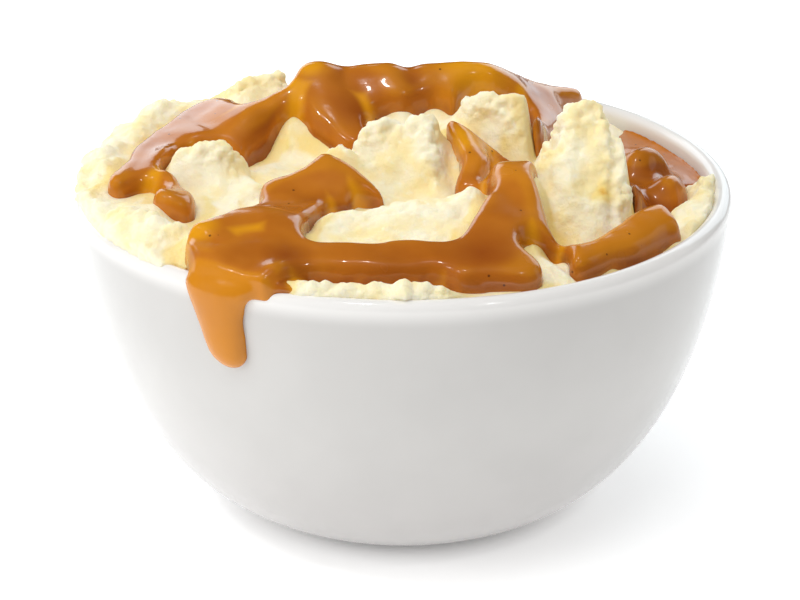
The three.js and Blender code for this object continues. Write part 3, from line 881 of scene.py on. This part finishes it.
# Painted shade: nooks are painted a darker, warmer cream.
cream = (0.75 * nook_shade).blend(cream, srgb(240, 206, 132))
cream = (0.35 * flecks).blend(cream, srgb(255, 250, 232))
cream = (0.8 * soak.between(0.1, 0.8)).blend(cream, srgb(243, 214, 120))
cream = (0.85 * soak.between(0.6, 1.0)).blend(cream, srgb(222, 162, 40))
pitting = lumps(start, 1.1 * MM, detail=4.0, roughness=0.65)
connect(potato, potato_shader, {
    "Base Color": cream,
    "Roughness": 0.62 - 0.25 * soak + 0.1 * patches,
    "Normal": bump(start, pitting, 0.35 * MM),
})
potato_shader.inputs["Subsurface Weight"].default_value = 0.3
potato_shader.inputs["Subsurface Radius"].default_value = (1.0, 0.75, 0.35)
potato_shader.inputs["Subsurface Scale"].default_value = 2.5 * MM
potato_shader.inputs["Specular IOR Level"].default_value = 0.35
mash_mesh.materials.append(potato)
print("mash nodes:", len(potato.node_tree.nodes))

# %% [markdown]
# ## Gravy mesh
#
# The coat over the mash and the drip over the rim are one sauce, so both blocks are meshed again
# together. Smoothing then gives the slow rounded surface of a liquid. First comes the drip: a flat
# grid wrapped along a line that runs out over the rim, turns down and follows the wall.

# %% Line of the drip
DRIP_TIP_Z = 49.85
DRIP_GAP = 0.1
DRIP_INNER_RADIUS = 57.5
DRIP_ANGLE = math.radians(240.9)
DRIP_SPREAD = 3.2
DRIP_LEFT_FLARE, DRIP_LEFT_TAPER = 5.2, 16.5
DRIP_RIGHT_FLARE, DRIP_RIGHT_TAPER = 9.0, 1.6
DRIP_THICKNESS = 2.4
DRIP_TIP_START = 0.86


def drip_line(share):
    """Radius, height, outward direction and length past the crest, from the mash to the tip."""
    turn_radius = RIM_ROUND + DRIP_GAP
    run_in = RIM_CREST - DRIP_INNER_RADIUS
    turn = turn_radius * np.pi / 2
    past = share * (run_in + turn + RIM_BASE - DRIP_TIP_Z) - run_in
    angle = np.pi / 2 - np.clip(past, 0, turn) / turn_radius
    out_r, out_z = np.cos(angle), np.sin(angle)
    fallen = RIM_BASE - np.maximum(past - turn, 0)
    radius = RIM_CREST + turn_radius * out_r + np.minimum(past, 0)
    wall = wall_radius(fallen, BOWL_RADIUS, OUTER_DEPTH) + DRIP_GAP
    z = np.where(past < turn, RIM_BASE + turn_radius * out_z, fallen)
    return np.where(past < turn, radius, wall), z, out_r, out_z, np.maximum(past, 0)


print("drip's tip:", [round(float(value), 1) for value in drip_line(np.float64(1))[:2]])

# %% Wrap the drip
DRIP_ACROSS, DRIP_ALONG = 40, 110
DRIP_SUNK = 0.6
drip_mesh = bpy.data.meshes.new("drip")
shape = bmesh.new()
bmesh.ops.create_grid(shape, x_segments=DRIP_ACROSS, y_segments=DRIP_ALONG, size=1)
raised = bmesh.ops.extrude_face_region(shape, geom=shape.faces[:])["geom"]
upper = [g for g in raised if isinstance(g, bmesh.types.BMVert)]
bmesh.ops.translate(shape, verts=upper, vec=(0, 0, 1))
bmesh.ops.recalc_face_normals(shape, faces=shape.faces[:])
shape.to_mesh(drip_mesh)
shape.free()
flat = mesh_points(drip_mesh)
across, share, outer = flat[:, 0], (1 - flat[:, 1]) / 2, flat[:, 2] > 0.5
radius, z, out_r, out_z, past = drip_line(share)
left_flare = DRIP_LEFT_FLARE * np.maximum(1 - past / DRIP_LEFT_TAPER, 0)
right_flare = DRIP_RIGHT_FLARE * np.exp(-past / DRIP_RIGHT_TAPER)
into_tip = np.clip((share - DRIP_TIP_START) / (1 - DRIP_TIP_START), 0, 0.999)
tip = np.sqrt(1 - into_tip**2)
spread = tip * (DRIP_SPREAD + np.where(across < 0, left_flare, right_flare))
angle = DRIP_ANGLE + np.radians(across * spread)
crown = DRIP_THICKNESS * tip * np.sqrt(1 - 0.98 * across**2)
out = np.where(outer, crown, -DRIP_SUNK)
reach = radius + out * out_r
wrapped = np.column_stack((reach * np.cos(angle), reach * np.sin(angle), z + out * out_z))
set_points(drip_mesh, wrapped * MM)
print("drip points:", len(flat))

# %% Gravy block
GRAVY_VOXEL = 0.5
GRAVY_UNDER = 1.3
SPILL_EDGE = 65.5
gravy_edge = np.where(in_spill, SPILL_EDGE, GRAVY_REACH)
gravy_keep = coated & (gravy_deep > -0.5) & (GRID_R < gravy_edge)
gravy_bottom = np.where(GRID_R < WALL_INSIDE, mash_top - GRAVY_UNDER, RIM_INSIDE)
gravy_cover = np.maximum(gravy_top, gravy_bottom + 0.3)
gravy_block = block_mesh("gravy_block", gravy_keep, gravy_cover, gravy_bottom)
shape = bmesh.new()
shape.from_mesh(gravy_block)
shape.from_mesh(drip_mesh)
shape.to_mesh(gravy_block)
shape.free()
gravy_mesh = remeshed(gravy_block, GRAVY_VOXEL * MM)
print("gravy faces:", len(gravy_mesh.polygons))

# %% Smooth the gravy and add slow ripples
SMOOTH_PASSES = 6
SMALLEST_BLOB = 400
shape = bmesh.new()
shape.from_mesh(gravy_mesh)
print("separate shapes of gravy:", drop_crumbs(shape, SMALLEST_BLOB))
for _ in range(SMOOTH_PASSES):
    bmesh.ops.smooth_vert(
        shape, verts=shape.verts[:], factor=0.5, use_axis_x=True, use_axis_y=True, use_axis_z=True
    )
shape.to_mesh(gravy_mesh)
shape.free()
points = mesh_points(gravy_mesh) / MM
ripple = 0.22 * solid_noise(points / 6, 11) + 0.07 * solid_noise(points / 2.5, 12)
points += mesh_normals(gravy_mesh) * ripple[:, None]
set_points(gravy_mesh, points * MM)
print("gravy vertices:", len(points))

# %% [markdown]
# Thin gravy is amber and thick gravy is a dark red-brown, because light that passes through more of
# it loses its yellow. Three values at each point say how close the edge of a run is, how deep the
# gravy lies, and whether it hangs over the rim. The first also makes raised gravy paler, partly as
# painted light, and the second also darkens sunk gravy and crevices, partly as painted shade.

# %% Thin edges and deep places, with painted light and shade
THIN_PLACES = [(14, 24, 15), (-19, 21, 6), (12, -3, 9), (-14, -9, 6), (-37, -45, 7)]
DEEP_AND_SHADED_PLACES = [(14, -52, 14), (45, -6, 9), (2, 19, 6), (-21, -53, 7), (-2, -58, 13),
               (-9, 12, 9), (49, 2, 11)]


def near_places(points, places):
    """1 at the middle of a place seen from above, and 0 past its reach."""
    shares = [1 - np.hypot(points[:, 0] - x, points[:, 1] - y) / reach for x, y, reach in places]
    return np.clip(np.max(shares, axis=0), 0, 1)


away = sample(gravy_away, points[:, 0], points[:, 1])
deep = sample(gravy_deep, points[:, 0], points[:, 1])
over_rim = np.clip((np.hypot(points[:, 0], points[:, 1]) - 62.5) / 2, 0, 1) * (points[:, 1] < -40)
pooled = sample(in_pool, points[:, 0], points[:, 1])
thin = np.clip((away + 1.4) / 3.6, 0, 1) * (1 - pooled)
bulge = sample(gravy_bulge, points[:, 0], points[:, 1])
# Partly painted light: gravy raised above its surroundings is painted paler amber, partly for thinner
# gravy there.
thin = np.maximum(thin, 0.45 * np.clip(bulge / 1.6, 0, 1))
thin = np.maximum(thin, near_places(points, THIN_PLACES))
store(gravy_mesh, "thin", np.maximum(thin * (1 - over_rim), 0.5 * over_rim))
# Partly painted shade: gravy sunk below its surroundings and the listed crevices are darkened as well
# as the thick gravy.
hollow = np.maximum(np.clip((deep - 3.2) / 3, 0, 1), np.clip(-bulge / 1.6, 0, 1))
hollow = np.maximum(hollow, near_places(points, DEEP_AND_SHADED_PLACES))
store(gravy_mesh, "deep", hollow * (1 - over_rim))
store(gravy_mesh, "hanging", over_rim)
print("deep share:", round(float((hollow > 0.5).mean()), 2))

# %% Gravy piece
gravy = bpy.data.objects.new("poured_gravy", gravy_mesh)
bpy.context.scene.collection.objects.link(gravy)
gravy_mesh.polygons.foreach_set("use_smooth", np.ones(len(gravy_mesh.polygons), bool))
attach(gravy, "root")
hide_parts("gravy", "gravy_pool")
print("gravy triangles:", sum(len(p.vertices) - 2 for p in gravy_mesh.polygons))

# %% [markdown]
# The sauce is satin with a clear wet skin, which is thinner on the drip. Its colour goes from
# amber to brown with the stored values, drifts a little and carries a few grains of pepper.

# %% Gravy finish
sauce, sauce_shader, start = new_finish("brown_gravy")
thin = start.node("ShaderNodeAttribute", {"attribute_name": "thin"}, output="Fac")
deep = start.node("ShaderNodeAttribute", {"attribute_name": "deep"}, output="Fac")
drift = lumps(start, 8 * MM, detail=2.0)
hanging = start.node("ShaderNodeAttribute", {"attribute_name": "hanging"}, output="Fac")
brown = drift.between(0.3, 0.7).blend(srgb(184, 106, 27), srgb(195, 117, 30))
# The deep value darkens thick gravy and, as painted shade, sunk gravy and crevices.
brown = (0.8 * deep).blend(brown, srgb(138, 64, 18))
# The thin value makes run edges amber and, partly as painted light, raised gravy paler.
brown = thin.between(0.25, 0.85).blend(brown, srgb(221, 149, 21))
place = start.node("ShaderNodeTexCoord", output="Object")
grains = start.node("ShaderNodeTexVoronoi", inputs={"Vector": place, "Scale": 1 / (3.8 * MM)})
pepper = 1 - grains.between(0.05, 0.08)
brown = (0.75 * pepper).blend(brown, srgb(60, 30, 14))
skin = lumps(start, 2.5 * MM, detail=2.0)
connect(sauce, sauce_shader, {
    "Base Color": brown,
    "Roughness": 0.16 + 0.16 * drift,
    "Coat Weight": 0.55 - 0.4 * hanging,
    "Normal": bump(start, skin, 0.06 * MM),
})
sauce_shader.inputs["IOR"].default_value = 1.45
sauce_shader.inputs["Specular IOR Level"].default_value = 0.35
sauce_shader.inputs["Coat Roughness"].default_value = 0.03
gravy_mesh.materials.append(sauce)
print("gravy nodes:", len(sauce.node_tree.nodes))
